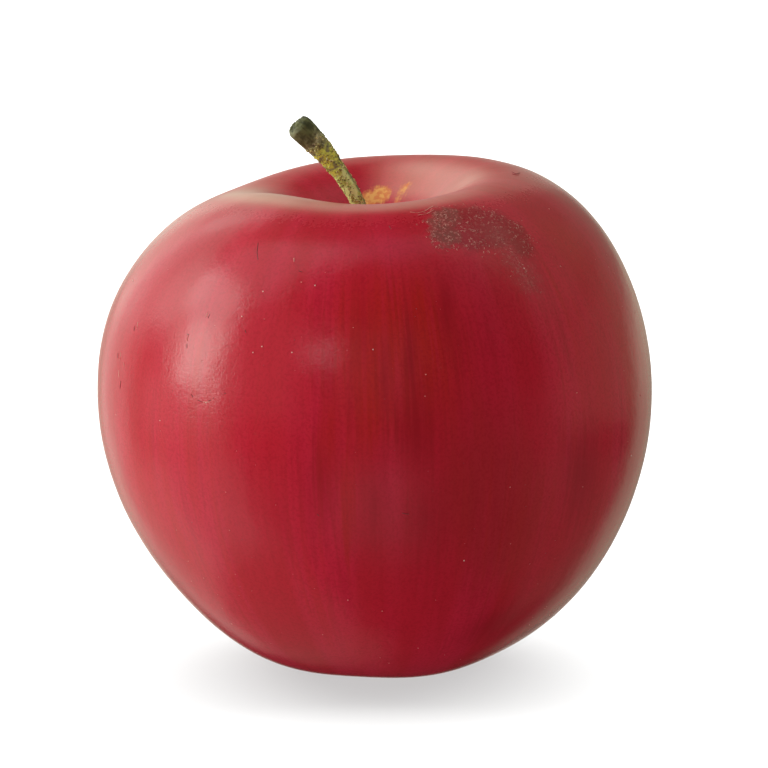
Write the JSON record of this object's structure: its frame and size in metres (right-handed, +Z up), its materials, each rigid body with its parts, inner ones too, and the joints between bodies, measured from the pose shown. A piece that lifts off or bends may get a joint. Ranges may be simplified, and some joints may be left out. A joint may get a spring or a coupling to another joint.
{
  "type": "red apple",
  "caption": "Whole ripe red apple with a lobed crown, a leaning woody stem in its cavity and dried sepals in the eye, resting on the flat ring round its eye.",
  "frame": {"origin": "on the surface that the apple stands on, under the middle of its outline as seen from above", "axes": "+Z up through the stem cavity; -Y towards the viewer of the picture; +X to the right, the stem leaning over to -X"},
  "size_m": [0.08, 0.08, 0.0806],
  "materials": {
    "apple_skin": "smooth waxy skin, satin gloss, crimson with finer streaks of orange-red and maroon",
    "stem_bark": "rough olive-brown bark with moss-green and pale flecks",
    "dry_calyx": "dry, matt brown"
  },
  "bodies": {
    "root": {"apple_fruit": "apple_skin", "stem": "stem_bark", "calyx": "dry_calyx"}
  },
  "joints": []
}
